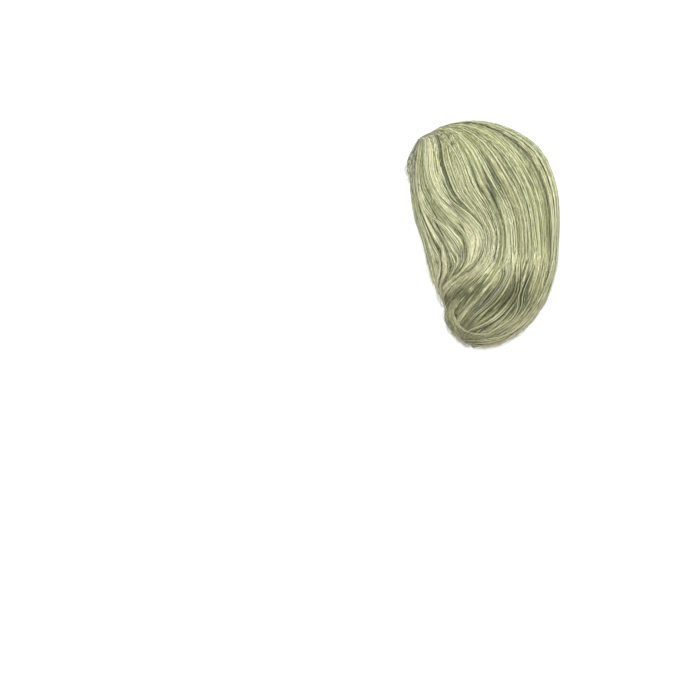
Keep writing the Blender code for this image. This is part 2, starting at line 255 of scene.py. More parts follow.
def sectionsAt(run):
    rows = throughRows(sectionTable, run)
    h = hairShape
    corner = np.array([-h["ahead"], 0, -h["drop"]])
    ends = []
    for x, z in ((0, 1), (2, 3)):
        end = np.zeros(rows.shape[:-1] + (3,))
        end[..., 0], end[..., 2] = h["reach"] * rows[..., x], h["height"] * rows[..., z]
        ends.append(corner + end)
    along = ends[1] - ends[0]
    length = np.linalg.norm(along, axis=-1)
    halfWidth = rows[..., 4] * h["width"] / 2
    rounding = 1
    for end, fromEnd in (("root", run), ("tip", 1 - run)):
        least = hairEnds[end + "Share"]
        rounding = rounding * (least + (1 - least) * smoothStep(fromEnd / hairEnds[end + "Run"]))
    return {
        "core": ends[0] + h["widest"] * along,
        "along": along / length[..., None],
        "frontReach": length * h["widest"],
        "backReach": length * (1 - h["widest"]),
        "halfWidth": halfWidth,
        "frontAngle": np.arccos(rows[..., 5]),
        "gather": rows[..., 6],
        "tuck": rows[..., 7],
        "fullness": smoothStep(halfWidth / (h["fullShare"] * h["width"])),
        "rounding": rounding,
    }


def combed(section, line):
    # where a line of the combing meets the hair's outside: along the section and across it
    pull = section["gather"] + section["tuck"] * (1 - line) ** 3
    sweep = np.clip(line, 1e-6, 1) ** pull
    angle = -section["frontAngle"] + (math.pi / 2 + section["frontAngle"]) * sweep
    toFront = section["frontReach"] * np.sin(angle) / np.sin(section["frontAngle"])
    toBack = section["backReach"] * np.sin(angle)
    return np.where(angle < 0, toFront, toBack), section["halfWidth"] * np.cos(angle)


def lockHeight(section, line, run):
    # the sewn locks of the wefts, rounded up between their partings
    h = hairShape
    height = np.zeros_like(line)
    for name, weft in wefts.items():
        span = weft["last"] - weft["first"]
        fade = smoothStep((weft["tip"] - run) / h["lockFade"]) if name != "back_weft" else 1.0
        lift = h["frontLift"] * section["fullness"] * (name == "front_weft")
        for start, end in zip(weft["locks"], weft["locks"][1:]):
            first, last = weft["first"] + span * start, weft["first"] + span * end
            inside = (line >= first) & (line <= last)
            across = np.clip((line - first) / (last - first), 0, 1)
            a, b = combed(section, np.full_like(line, first)), combed(section, np.full_like(line, last))
            width = np.hypot(b[0] - a[0], b[1] - a[1])
            rise = np.minimum(
                h["partingDepth"] * section["fullness"] + lift, h["steepestLock"] * width
            )
            here = rise * fade * (1 - np.abs(2 * across - 1) ** 3)
            height = np.where(inside, here, height)
    return height


# Partings high on the side, sunk a little and darkened with painted shade: lines at three runs, half width,
# strength
creases = {
    "runs": (0.27, 0.36, 0.44),
    "paths": (
        ((0.430, 0.421, 0.402), 0.008, 0.55),
        ((0.493, 0.467, 0.447), 0.011, 1.00),
        ((0.530, 0.513, 0.491), 0.008, 0.85),
        ((0.610, 0.577, 0.545), 0.005, 0.45),
        ((0.780, 0.690, 0.657), 0.012, 0.40),
    ),
    "place": (0.355, 0.085),
    "depth": 0.0012,
    "shade": 0.62,
}

# What the brush left, and the painted shade and highlight on it. First the S shaped ridge at
# the side: its lines at these runs, where it rises and where it falls away, and the hollow behind it.
brushReliefAndPaintedShading = {
    "ridgeRuns": (0.26, 0.36, 0.44, 0.50, 0.56, 0.61, 0.67, 0.72),
    "ridgeLines": (0.300, 0.325, 0.345, 0.368, 0.388, 0.384, 0.352, 0.322),
    "ridgeReach": 0.034,
    "ridgeRises": (0.24, 0.16),
    "ridgeFalls": (0.74, 0.12),
    "hollowBehind": (0.075, 0.030),
    "hollowRun": (0.53, 0.10),
    # the ridge: its height and a painted highlight; the hollow: its height and painted shade
    "ridge": (0.0018, 0.05),  # height and shade
    "hollow": (-0.0014, -0.14),
    # patches: line and reach, run and reach, height and shade
    "patches": (
        # patches of painted shade: a dent below the hook, and two dark parts of the band below the roll
        ((0.255, 0.040), (0.590, 0.040), -0.0012, -0.14),
        ((0.455, 0.050), (0.700, 0.035), 0.0, -0.12),
        ((0.650, 0.040), (0.720, 0.035), 0.0, -0.12),
    ),
    # bands round the hair above its ends: run and reach, height, shade, and if the back has it
    "bands": (
        # a painted highlight on the roll, painted shade in the band below it, light painted shade lower
        # down
        ((0.635, 0.040), 0.0022, 0.18, True),
        ((0.745, 0.042), -0.0024, -0.32, False),
        ((0.865, 0.040), 0.0016, -0.08, True),
    ),
    "bandSlope": 0.05,
    "back": (0.86, 0.14),
}


def reliefAndPaintedShading(line, run):
    # the height of what the brush left, and the painted shade and painted highlight on it
    b = brushReliefAndPaintedShading
    ridgeLine = np.interp(run, b["ridgeRuns"], b["ridgeLines"])
    (start, rising), (end, falling) = b["ridgeRises"], b["ridgeFalls"]
    ridge = bump(line, ridgeLine, b["ridgeReach"]) * smoothStep((run - start) / rising)
    ridge = ridge * smoothStep((end - run) / falling)
    behind, reach = b["hollowBehind"]
    hollow = bump(line, ridgeLine + behind, reach) * bump(run, *b["hollowRun"])
    forms = [(ridge, *b["ridge"]), (hollow, *b["hollow"])]
    for lineAt, runAt, height, shade in b["patches"]:
        forms.append((bump(line, *lineAt) * bump(run, *runAt), height, shade))
    for lines, reach, share in creases["paths"]:
        here = np.interp(run, creases["runs"], lines)
        crease = share * bump(line, here, reach) * bump(run, *creases["place"])
        forms.append((crease, -creases["depth"], -creases["shade"]))
    level = run - b["bandSlope"] * (line - 0.5)
    backLine, backFade = b["back"]
    for levelAt, height, shade, atBack in b["bands"]:
        band = bump(level, *levelAt)
        band = band if atBack else band * smoothStep((backLine - line) / backFade)
        forms.append((band, height, shade))
    return sum(form * height for form, height, _ in forms), sum(form * shade for form, _, shade in forms)


# The room that the claw takes, in its own leaning frame
clipRoom = {
    "lean": math.radians(22),
    "halfLength": 0.0372, "halfWidth": 0.0216, "deepest": 0.0390,
    "softEdge": 0.004,
}


def leaning(out, up, aside):
    # a place in the claw's own leaning frame, put in the object's
    lean = clipRoom["lean"]
    return np.stack(
        [out * math.cos(lean) - up * math.sin(lean), aside, out * math.sin(lean) + up * math.cos(lean)],
        axis=-1,
    )


def inLean(places):
    # the other way round: how far out and how far up a place is in the claw's frame
    lean = clipRoom["lean"]
    out = places[..., 0] * math.cos(lean) + places[..., 2] * math.sin(lean)
    return out, -places[..., 0] * math.sin(lean) + places[..., 2] * math.cos(lean)


def clearOfClip(places, side):
    # hair that would hang across the claw's mouth is parted to its two sides
    out, up = inLean(places)
    edge = clipRoom["softEdge"]
    near = smoothStep((clipRoom["halfLength"] + edge - np.abs(up)) / (2 * edge))
    near = near * (out < clipRoom["deepest"])
    across = np.abs(places[..., 1])
    kept = np.maximum(across, clipRoom["halfWidth"])
    places[..., 1] = side * (across + (kept - across) * near)
    return places


def domeOver(run):
    # how the hair closes past either end of its run: its radius there and how far it bulges
    beyond = (np.clip(-run, 0, 1) + np.clip(run - 1, 0, 1)) / hairEnds["closingRun"]
    closing = np.sqrt(np.clip(1 - (hairEnds["closed"] * beyond) ** 2, 0, 1))
    bulge = 0
    for end, past in (("root", run < 0), ("tip", run > 1)):
        way = np.array(Vector(hairEnds[end + "Way"]).normalized())
        bulge = bulge + way * (hairEnds[end + "Bulge"] * past * (1 - closing))[..., None]
    return closing, bulge


def skinPlaces(line, run, side, lift=0.0, parted=True):
    # places on the combed outside; past either end of the run they close over in a dome
    section = sectionsAt(run)
    along, across = combed(section, line)
    length = np.hypot(along, across)
    relief = hairShape["partingDepth"] * section["fullness"]
    base = np.maximum(length * section["rounding"] - relief, hairShape["leastShare"] * length)
    modelled, shade = reliefAndPaintedShading(line, run)
    height = lockHeight(section, line, np.clip(run, 0, 1)) + modelled * section["fullness"]
    closing, bulge = domeOver(run)
    radius = (base + height + lift) * closing
    places = (
        section["core"]
        + section["along"] * (along / length * radius)[..., None]
        + np.array([0, side, 0]) * (across / length * radius)[..., None]
    )
    places = places + bulge
    return (clearOfClip(places, side) if parted else places), shade


# The side that lies to the nape: hollow, with shallow grooves, from below the claw to the tips,
# with painted shade darkest down its middle
nape = {
    "first": 0.51, "last": 1.05, "reach": 0.97,
    "rows": 90, "lines": 61,
    "hollow": 0.0086, "groove": 0.8, "shade": -0.12,
}


def napePlaces(across, run):
    # from the left front edge to the right one
    section = sectionsAt(run)
    along, wide = combed(section, np.zeros_like(run))
    length = np.hypot(along, wide)
    relief = hairShape["partingDepth"] * section["fullness"]
    radius = length * section["rounding"] - relief
    groove = np.abs(np.sin(2 * math.pi * across)) * (1 - np.abs(across))
    inward = nape["hollow"] * section["fullness"] * (1 - across**2) + nape["groove"] * relief * groove
    closing, bulge = domeOver(run)
    flat = (along / length * radius + inward) * closing
    places = section["core"] + section["along"] * flat[..., None] + bulge
    places[..., 1] += wide / length * radius * across * closing
    return places, nape["shade"] * (1 - across**2)


def guideMesh(name, places, shade):
    # a grid whose map runs across the lines and down the run, for the strands to be laid on
    rows, columns = places.shape[:2]
    downward, sideways = np.gradient(places, axis=0), np.gradient(places, axis=1)
    outward = np.cross(sideways, downward)
    outward /= np.maximum(np.linalg.norm(outward, axis=-1), 1e-12)[..., None]
    if (outward * (places - np.array(hairShape["middle"]))).sum() < 0:
        outward = -outward
    index = np.arange(rows * columns).reshape(rows, columns)
    quads = np.stack(
        [index[:-1, :-1], index[:-1, 1:], index[1:, 1:], index[1:, :-1]], axis=-1
    ).reshape(-1, 4)
    mesh = bpy.data.meshes.new(name)
    mesh.from_pydata(places.reshape(-1, 3).tolist(), [], quads.tolist())
    down, over = grid(np.linspace(0, 1, rows), np.linspace(0, 1, columns))
    flat = np.stack([over.ravel(), down.ravel()], axis=1)[quads.ravel()]
    mesh.uv_layers.new(name="combing").uv.foreach_set("vector", flat.astype(np.float32).ravel())
    # the painted shade and painted highlight, which the strands take into their colour
    paintedShadings = np.broadcast_to(shade, (rows, columns))
    for key, kind, field, values in (
        ("outward", "FLOAT_VECTOR", "vector", outward),
        ("shade", "FLOAT", "value", paintedShadings),
    ):
        attribute = mesh.attributes.new(key, kind, "POINT")
        attribute.data.foreach_set(field, values.astype(np.float32).ravel())
    return placed(name, mesh)


weftGrid = {"rows": 150, "lines": 221, "overlap": 0.012}


def weftGuide(name, weft, side):
    overlap = weftGrid["overlap"]
    first, last = max(weft["first"] - overlap, 0), min(weft["last"] + overlap, 1)
    shares = np.linspace(0, 1, weftGrid["lines"]) ** weft.get("crowding", 1.0)
    runs = np.linspace(-hairEnds["closingRun"], weft["end"], weftGrid["rows"])
    run, parting = grid(runs, first + (last - first) * shares)
    return guideMesh(name, *skinPlaces(strandLine(parting, run), run, side))


lockForm = {
    "rows": 60, "lines": 15,
    "slimmest": 0.35,
    "slimming": (0.12, 0.80),  # where in a half wave the width starts, and how much of it follows
    "scale": (0.15, 0.22),  # about how many metres a whole line and a whole run measure
    "runPerLine": 0.68, "lastRun": 1.03,
    "rootFade": 0.25, "tipFade": 0.20,
    "sinks": 0.35,  # how deep its ends sink, as a share of its height
    "probe": 0.001,
    # painted shade at a lock's edges and a painted highlight along its crown
    "paintedShadings": (-0.02, 0.05),
}


def lockGuide(name, lines, runs, halfWidth, height, side):
    # a rounded ribbon along its path that sinks in between the others at both ends
    f = lockForm
    down, across = grid(np.linspace(0, 1, f["rows"]), np.linspace(-1, 1, f["lines"]))
    centre = throughRows(np.stack([lines, runs], axis=1), down)
    start, length = f["slimming"]
    narrowing = f["slimmest"] + (1 - f["slimmest"]) * np.sin(math.pi * (start + length * down))
    slope = np.gradient(centre, axis=0) * np.array(f["scale"])
    slope /= np.linalg.norm(slope, axis=-1)[..., None]
    aside = halfWidth * narrowing * across
    line = np.clip(centre[..., 0] + aside * slope[..., 1], 0, 1)
    run = np.clip(centre[..., 1] - f["runPerLine"] * aside * slope[..., 0], 0, f["lastRun"])
    places, shade = skinPlaces(line, run, side)
    above, _ = skinPlaces(line, run, side, lift=f["probe"])
    outward = (above - places) / f["probe"]
    sunk = smoothStep(down / f["rootFade"]) * smoothStep((1 - down) / f["tipFade"])
    rise = height * ((1 - across**2) * sunk - f["sinks"] * (1 - sunk))
    # painted shade at the edges, painted highlight along the crown
    edge, crown = f["paintedShadings"]
    return guideMesh(name, places + outward * rise[..., None], shade + edge + crown * (1 - across**2))


def napeGuide(name):
    runs = np.linspace(nape["first"], nape["last"], nape["rows"])
    run, across = grid(runs, np.linspace(-nape["reach"], nape["reach"], nape["lines"]))
    return guideMesh(name, *napePlaces(across, run))


cover = {
    "rows": 50, "lines": 41,
    "deepest": 0.09,  # the last line that it hides on either side
    "bridge": 0.4,  # the share of either half that lies on the parting
    "mixed": 0.8,  # in how many half widths the two sides blend
    "proud": 0.0007,
    "search": (-0.03, 0.5, 400),  # where its lower end is looked for
    "further": 0.01,
    "shade": -0.04,
}


def coverGuide(name):
    # the crown's parting, combed closed above the claw
    runs = np.linspace(*cover["search"])
    up = inLean(skinPlaces(np.zeros_like(runs), runs, 1, parted=False)[0])[1]
    lowest = runs[int(np.argmax(up < pocket["top"]))] + cover["further"]
    down = np.linspace(-hairEnds["closingRun"], lowest, cover["rows"])
    run, across = grid(down, np.linspace(-1, 1, cover["lines"]))
    line = cover["deepest"] * np.clip((np.abs(across) - cover["bridge"]) / (1 - cover["bridge"]), 0, 1)
    left, right = (
        skinPlaces(line, run, side, lift=cover["proud"], parted=False)[0] for side in (-1, 1)
    )
    share = np.clip(across / cover["mixed"] + 0.5, 0, 1)[..., None]
    return guideMesh(name, left + (right - left) * share, cover["shade"])


# The short hair that lines the claw's room, in the claw's own leaning frame. Three numbers are
# a start, an end and a count.
pocket = {
    "halfWidth": 0.0204, "ledge": 0.0270, "floor": -0.0362, "top": 0.0362, "deepest": 0.0180,
    "clear": 0.0007,  # how far it stands off the solid
    "farthest": 0.03,
    # painted shade inside the claw's room
    "shade": {"wall": -0.16, "roof": -0.14, "floor": -0.14},
    "edgeRuns": (0, 0.75, 80), "insideEdge": 0.0006, "wallGrid": (60, 24),
    "roofUp": 0.030, "roofReach": 0.012, "roofAside": (-0.0198, 0.0198, 34), "roofOut": (0.024, -0.020, 60),
    "roofPoints": 20, "roofLeast": 8,
    "floorAcross": (-0.98, 0.98, 99), "floorRuns": (0.44, 0.80, 220),
    "floorBehind": 0.006, "floorPast": 0.0012, "floorPoints": 16,
    "hangs": slice(5, 85, 8), "hangsProud": 0.0006,
}


def weftSolids(*sideNames):
    return [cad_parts[sideName + "_" + weftName] for sideName in sideNames for weftName in wefts]


def wallTrees(nodes):
    return [BVHTree.FromObject(node, bpy.context.evaluated_depsgraph_get()) for node in nodes]


def gapTo(walls, place, way, farthest):
    # how far the nearest wall is that way, or None
    gaps = [wall.ray_cast(place, way, farthest)[3] for wall in walls]
    return min((gap for gap in gaps if gap is not None), default=None)


def pocketWallGuide(name, side, nodes):
    # hair that hangs down the wall between the claw and the temple
    runs = np.linspace(*pocket["edgeRuns"])
    edgeOut, edgeUp = inLean(skinPlaces(np.zeros_like(runs), runs, side)[0])
    down, inward = grid(*(np.linspace(0, 1, count) for count in pocket["wallGrid"]))
    up = pocket["top"] + (pocket["floor"] - pocket["top"]) * down
    order = np.argsort(edgeUp)
    first = np.interp(up, edgeUp[order], edgeOut[order]) + pocket["insideEdge"]
    out = first + (pocket["deepest"] - first) * inward
    places = leaning(out, up, np.zeros_like(up))
    walls = wallTrees(nodes)
    for spot in places.reshape(-1, 3):
        gap = gapTo(walls, Vector(spot), Vector((0, side, 0)), pocket["farthest"])
        spot[1] = side * ((pocket["halfWidth"] if gap is None else gap) - pocket["clear"])
    return guideMesh(name, places, pocket["shade"]["wall"])


def pocketRoofGuide(name, nodes):
    # hair that lies under the roof, as far forward as the roof goes
    walls = wallTrees(nodes)
    upward = Vector(leaning(0.0, 1.0, 0.0))
    columns = []
    for aside in np.linspace(*pocket["roofAside"]):
        column = []
        for out in np.linspace(*pocket["roofOut"]):
            spot = Vector(leaning(out, pocket["roofUp"], aside))
            gap = gapTo(walls, spot, upward, pocket["roofReach"])
            if gap is not None:
                column.append(spot + upward * (gap - pocket["clear"]))
        if len(column) > pocket["roofLeast"]:
            picked = np.linspace(0, len(column) - 1, pocket["roofPoints"]).astype(int)
            columns.append(np.array(column)[picked])
    places = np.stack(columns, axis=1)
    return guideMesh(name, places, pocket["shade"]["roof"])


def pocketFloorGuide(name):
    # hair that lies over the floor and hangs over its edge to the nape
    runs = np.linspace(*pocket["floorRuns"])
    points = pocket["floorPoints"]
    columns = []
    for across in np.linspace(*pocket["floorAcross"]):
        below = napePlaces(np.full_like(runs, across), runs)[0]
        out, up = inLean(below)
        edge = int(np.argmax(up < pocket["floor"]))
        aside = below[edge, 1]
        if abs(aside) > pocket["ledge"]:
            continue
        start, end = pocket["deepest"] + pocket["floorBehind"], out[edge] + pocket["floorPast"]
        level = np.full(points, pocket["floor"])
        floor = leaning(np.linspace(start, end, points), level, np.full(points, aside))
        over = below[edge:][pocket["hangs"]] - np.array([pocket["hangsProud"], 0, 0])
        columns.append(np.concatenate([floor, over]))
    places = np.stack(columns, axis=1)
    return guideMesh(name, places, pocket["shade"]["floor"])


# Node trees

def addNode(tree, kind, inputs=None, **settings):
    count = len(tree.nodes)
    node = tree.nodes.new(kind)
    node.location = (210 * (count // 8), -190 * (count % 8))
    for name, value in settings.items():
        setattr(node, name, value)
    for key, value in (inputs or {}).items():
        if isinstance(value, bpy.types.NodeSocket):
            tree.links.new(value, node.inputs[key])
        else:
            node.inputs[key].default_value = value
    return node


strandInputs = {
    "Strands": 1400, "Points": 22, "Thickness": 0.00036,
    "Clumps": 48, "Clump Pull": 0.40, "Clump Height": 0.0004, "Clump Drift": 0.022,
    "Wander": 0.02, "Crimp": 0.008, "Crossing": 0.10,
    "Tone Contrast": 1.60, "Clump Tone": 0.45, "Patchy Tone": 0.45,
    "Layer Depth": 0.0010, "Uneven Roots": 0.02, "Uneven Ends": 0.12,
    "Stray Share": 0.03, "Stray Lift": 0.005,
    "Seed": 1, "Hair Material": None,
}

strandHabits = {
    # how fast each kind of noise changes: across the weft, down it, and the scale of both
    "clumpDrift": (1.0, 0.45, 9.0),
    "wander": (5.0, 1.0, 6.0),
    "crimp": (60.0, 1.0, 18.0),
    "crossing": (3.7, 0.9, 2.0),
    "curl": (31.0, 0.7, 5.0),
    "patch": (40.0, 1.6, 2.2),
    "seedStep": 7.31,
    "closing": (0.02, 0.9, 0.35, 1.0),  # where clumps start and end to close, and how far
    # the least and the most that chance gives
    "strayLeaves": (0.0, 0.75), "strayRise": (0.15, 1.0), "clumpRise": (0.4, 1.4),
    "layers": (-0.45, 0.75), "sizes": (0.65, 1.25),
    # amounts
    "crossingRise": 0.0005, "strayCurl": 2.2, "strayTaper": 0.4,
    "tipTaper": 0.75, "taperPower": 9.0,
    "lowerContrast": 1.2, "ownWarmth": 0.7, "tipWarmth": 0.4,
    "ringSpread": 0.012,  # how much paler one flank of a strand is than the other
}


def strandTree():
    # lays strands on a guide grid, draws them into clumps and gives each its thickness and tone
    tree = bpy.data.node_groups.new("combedStrands", "GeometryNodeTree")
    tree.is_modifier = True
    tree.interface.new_socket("Guide", in_out="INPUT", socket_type="NodeSocketGeometry")
    kinds = {int: "NodeSocketInt", float: "NodeSocketFloat", type(None): "NodeSocketMaterial"}
    for name, start in strandInputs.items():
        socket = tree.interface.new_socket(name, in_out="INPUT", socket_type=kinds[type(start)])
        if start is not None:
            socket.default_value = start
    tree.interface.new_socket("Hair", in_out="OUTPUT", socket_type="NodeSocketGeometry")
    given = addNode(tree, "NodeGroupInput").outputs
    habit = strandHabits
    guideEdge, mapEdge = 0.001, 0.015

    def made(kind, inputs=None, **settings):
        return addNode(tree, kind, inputs, **settings).outputs[0]

    def calc(operation, *values):
        return made("ShaderNodeMath", dict(enumerate(values)), operation=operation)

    times, plus, minus = (partial(calc, word) for word in ("MULTIPLY", "ADD", "SUBTRACT"))

    def blendOf(share, low, high):
        # low where share is 0 and high where it is 1
        return calc("MULTIPLY_ADD", share, minus(high, low), low)

    def combine(x, y, z=0.0):
        return made("ShaderNodeCombineXYZ", {0: x, 1: y, 2: z})

    def scaled(vector, amount):
        return made("ShaderNodeVectorMath", {0: vector, "Scale": amount}, operation="SCALE")

    def added(first, second):
        return made("ShaderNodeVectorMath", {0: first, 1: second}, operation="ADD")

    def inside(value, edge):
        return made("ShaderNodeClamp", {0: value, "Min": edge, "Max": 1 - edge})

    def eased(value, start, end, low=0.0, high=1.0):
        inputs = {0: value, "From Min": start, "From Max": end, "To Min": low, "To Max": high}
        return made("ShaderNodeMapRange", inputs, interpolation_type="SMOOTHSTEP")

    def named(name, kind):
        return made("GeometryNodeInputNamedAttribute", {"Name": name}, data_type=kind)

    def stored(geometry, name, value, kind, domain="POINT"):
        inputs = {0: geometry, "Name": name, "Value": value}
        return made("GeometryNodeStoreNamedAttribute", inputs, data_type=kind, domain=domain)

    def chance(step, identity, low=0.0, high=1.0):
        inputs = {2: low, 3: high, "ID": identity, "Seed": plus(given["Seed"], step)}
        return addNode(tree, "FunctionNodeRandomValue", inputs, data_type="FLOAT").outputs[1]

    def noise(name, across, along):
        # its value, from -0.5 to 0.5, and its colour
        acrossScale, alongScale, scale = habit[name]
        depth = times(given["Seed"], habit["seedStep"])
        place = combine(times(across, acrossScale), times(along, alongScale), depth)
        node = addNode(tree, "ShaderNodeTexNoise", {"Vector": place, "Scale": scale, "Detail": 1.0})
        return minus(node.outputs[0], 0.5), node.outputs[1]

    line = made("GeometryNodeCurvePrimitiveLine")
    spaced = made("GeometryNodeResampleCurve", {0: line, "Count": given["Points"]})
    amount = {0: spaced, "Amount": given["Strands"]}
    copies = addNode(tree, "GeometryNodeDuplicateElements", amount, domain="SPLINE").outputs
    strand = copies["Duplicate Index"]
    factor = made("GeometryNodeSplineParameter")

    # across the weft, in clumps that close towards the ends
    start = calc("DIVIDE", plus(strand, chance(11, strand)), given["Strands"])
    inClumps = times(start, given["Clumps"])
    clump = calc("FLOOR", inClumps)
    within = minus(inClumps, clump)
    centre = calc("DIVIDE", plus(clump, 0.5), given["Clumps"])
    begin = times(chance(12, strand), given["Uneven Roots"])
    end = minus(1.0, times(calc("POWER", chance(13, strand), 2.0), given["Uneven Ends"]))
    down = blendOf(factor, begin, end)
    gathered = blendOf(times(eased(down, *habit["closing"]), given["Clump Pull"]), start, centre)
    clumpDrift = times(noise("clumpDrift", centre, down)[0], given["Clump Drift"])
    ownDrift = times(noise("wander", start, down)[0], given["Wander"])
    crimp = times(noise("crimp", start, down)[0], given["Crimp"])
    # a few strands cross many others
    freedom = calc("POWER", chance(22, strand), 3.0)
    crossing = times(times(noise("crossing", strand, down)[0], freedom), given["Crossing"])
    across = plus(gathered, plus(plus(clumpDrift, ownDrift), plus(crimp, crossing)))

    # strays leave the rest somewhere along the run
    isStray = calc("LESS_THAN", chance(14, strand), given["Stray Share"])
    away = eased(factor, chance(15, strand, *habit["strayLeaves"]), 1.0)
    strayAmount = times(times(isStray, away), given["Stray Lift"])
    strayLift = times(strayAmount, chance(16, strand, *habit["strayRise"]))

    # read the guide there; what drifts past its edge is mirrored back
    mirrored = calc("PINGPONG", across, 1.0)
    sampleAt = combine(inside(mirrored, guideEdge), inside(down, guideEdge))
    combing = named("combing", "FLOAT_VECTOR")

    def onGuide(value, kind):
        inputs = {"Mesh": given["Guide"], "Value": value, "UV Map": combing, "Sample UV": sampleAt}
        return made("GeometryNodeSampleUVSurface", inputs, data_type=kind)

    place = onGuide(made("GeometryNodeInputPosition"), "FLOAT_VECTOR")
    outward = onGuide(named("outward", "FLOAT_VECTOR"), "FLOAT_VECTOR")
    shade = onGuide(named("shade", "FLOAT"), "FLOAT")

    # how far off the guide each strand lies
    fromMiddle = minus(times(within, 2.0), 1.0)
    crown = minus(1.0, times(fromMiddle, fromMiddle))
    clumpLift = times(times(crown, given["Clump Height"]), chance(17, clump, *habit["clumpRise"]))
    layer = times(chance(18, strand, *habit["layers"]), given["Layer Depth"])
    above = times(freedom, habit["crossingRise"])
    lift = plus(plus(clumpLift, layer), plus(strayLift, above))
    colour = noise("curl", start, factor)[1]
    curl = made("ShaderNodeVectorMath", {0: colour, 1: (0.5, 0.5, 0.5)}, operation="SUBTRACT")
    loose = scaled(curl, times(strayAmount, habit["strayCurl"]))
    lifted = added(added(place, scaled(outward, lift)), loose)
    laid = made("GeometryNodeSetPosition", {0: copies[0], "Position": lifted})

    # thickness, thinner at the very ends and on strays
    taper = minus(1.0, times(calc("POWER", factor, habit["taperPower"]), habit["tipTaper"]))
    ownSize = times(chance(19, strand, *habit["sizes"]), taper)
    ownSize = times(ownSize, minus(1.0, times(isStray, habit["strayTaper"])))
    size = times(times(given["Thickness"], 0.5), ownSize)

    # tone: partly the clump's and partly its own, and paler and darker by turns down the run; the
    # guide's painted shade and highlight are added to it
    grouped = blendOf(given["Clump Tone"], chance(21, strand), chance(20, clump))
    patch = times(noise("patch", start, down)[0], given["Patchy Tone"])
    mixed = minus(plus(grouped, patch), 0.5)
    contrast = plus(times(calc("POWER", down, 2.0), habit["lowerContrast"]), given["Tone Contrast"])
    tone = plus(calc("MULTIPLY_ADD", mixed, contrast, 0.5), shade)
    warmth = blendOf(0.5, chance(23, strand), chance(24, clump))
    towardsTip = times(calc("POWER", down, 5.0), habit["tipWarmth"])
    warmth = inside(calc("MULTIPLY_ADD", warmth, habit["ownWarmth"], towardsTip), mapEdge)
    toned = stored(laid, "tone", combine(tone, warmth), "FLOAT_VECTOR")

    # the tubes, whose map holds the tone one way and the warmth the other
    ring = made("GeometryNodeCurvePrimitiveCircle", {"Resolution": 3, "Radius": 1.0})
    marked = stored(ring, "around", made("GeometryNodeSplineParameter"), "FLOAT")
    tubes = made("GeometryNodeCurveToMesh", {0: toned, 1: marked, "Scale": size, "Fill Caps": True})
    apart = addNode(tree, "ShaderNodeSeparateXYZ", {0: named("tone", "FLOAT_VECTOR")}).outputs
    spread = times(minus(named("around", "FLOAT"), 0.33), habit["ringSpread"])
    place = combine(plus(inside(apart[0], mapEdge), spread), apart[1])
    mapped = stored(tubes, "OFBake", place, "FLOAT2", "CORNER")
    smooth = made("GeometryNodeSetShadeSmooth", {0: mapped})
    real = made("GeometryNodeRealizeInstances", {0: smooth})
    coated = made("GeometryNodeSetMaterial", {0: real, "Material": given["Hair Material"]})
    addNode(tree, "NodeGroupOutput", {0: coated})
    return tree


def dressed(guide, tree, settings):
    # runs the tree on a guide and keeps its result as a plain mesh
    modifier = guide.modifiers.new("strands", "NODES")
    modifier.node_group = tree
    for item in tree.interface.items_tree:
        if item.item_type == "SOCKET" and item.in_out == "INPUT" and item.name in settings:
            modifier[item.identifier] = settings[item.name]
    depsgraph = bpy.context.evaluated_depsgraph_get()
    mesh = bpy.data.meshes.new_from_object(guide.evaluated_get(depsgraph), depsgraph=depsgraph)
    for spare in ("tone", "around", "radius"):
        if spare in mesh.attributes:
            mesh.attributes.remove(mesh.attributes[spare])
    old, name = guide.data, guide.name
    bpy.data.objects.remove(guide)
    bpy.data.meshes.remove(old)
    mesh.name = name
    return placed(name, mesh)


# Materials

hairLook = {
    # tone of a strand, from the darkest to the palest, and its colour (linear)
    "tones": (
        (0.00, (0.035, 0.038, 0.024)),
        (0.22, (0.120, 0.127, 0.075)),
        (0.45, (0.315, 0.330, 0.185)),
        (0.65, (0.540, 0.555, 0.320)),
        (0.85, (0.820, 0.820, 0.560)),
        (1.00, (0.950, 0.945, 0.780)),
    ),
    # what that is multiplied by, from cool strands to warm ones
    "tints": (
        (0.10, (0.83, 0.90, 0.81)),
        (0.40, (0.91, 0.91, 0.78)),
        (0.80, (0.96, 0.85, 0.69)),
    ),
    "roughness": 0.38,
    "specular": 0.50,
}


def newMaterial(name):
    material = bpy.data.materials.new(name)
    material.use_nodes = True
    tree = material.node_tree
    return material, tree, tree.nodes["Principled BSDF"]


def colourRamp(tree, factor, stops):
    ramp = addNode(tree, "ShaderNodeValToRGB", {0: factor})
    elements = ramp.color_ramp.elements
    while len(elements) < len(stops):
        elements.new(0.5)
    for element, (place, colour) in zip(elements, stops):
        element.position = place
        element.color = (*colour, 1)
    return ramp.outputs[0]


def strandMaterial():
    # the map holds a strand's tone, with its painted shade and highlight, one way and its warmth the other
    material, tree, shader = newMaterial("strandHair")
    place = addNode(tree, "ShaderNodeUVMap", uv_map="OFBake").outputs[0]
    apart = addNode(tree, "ShaderNodeSeparateXYZ", {0: place})
    colour = colourRamp(tree, apart.outputs[0], hairLook["tones"])
    tint = colourRamp(tree, apart.outputs[1], hairLook["tints"])
    tinted = addNode(tree, "ShaderNodeVectorMath", {0: colour, 1: tint}, operation="MULTIPLY")
    tree.links.new(tinted.outputs[0], shader.inputs["Base Color"])
    shader.inputs["Roughness"].default_value = hairLook["roughness"]
    shader.inputs["Specular IOR Level"].default_value = hairLook["specular"]
    return material


underLook = {
    # dark tones: painted shade of the hair below the strands
    "tones": (
        (0.25, (0.055, 0.058, 0.040)),
        (0.50, (0.150, 0.155, 0.105)),
        (0.75, (0.300, 0.305, 0.210)),
    ),
    "streaks": 900.0,
    "flattened": 0.06,  # how little the streaks change downwards
    "bump": (0.5, 0.0006),
    "roughness": 0.55,
}

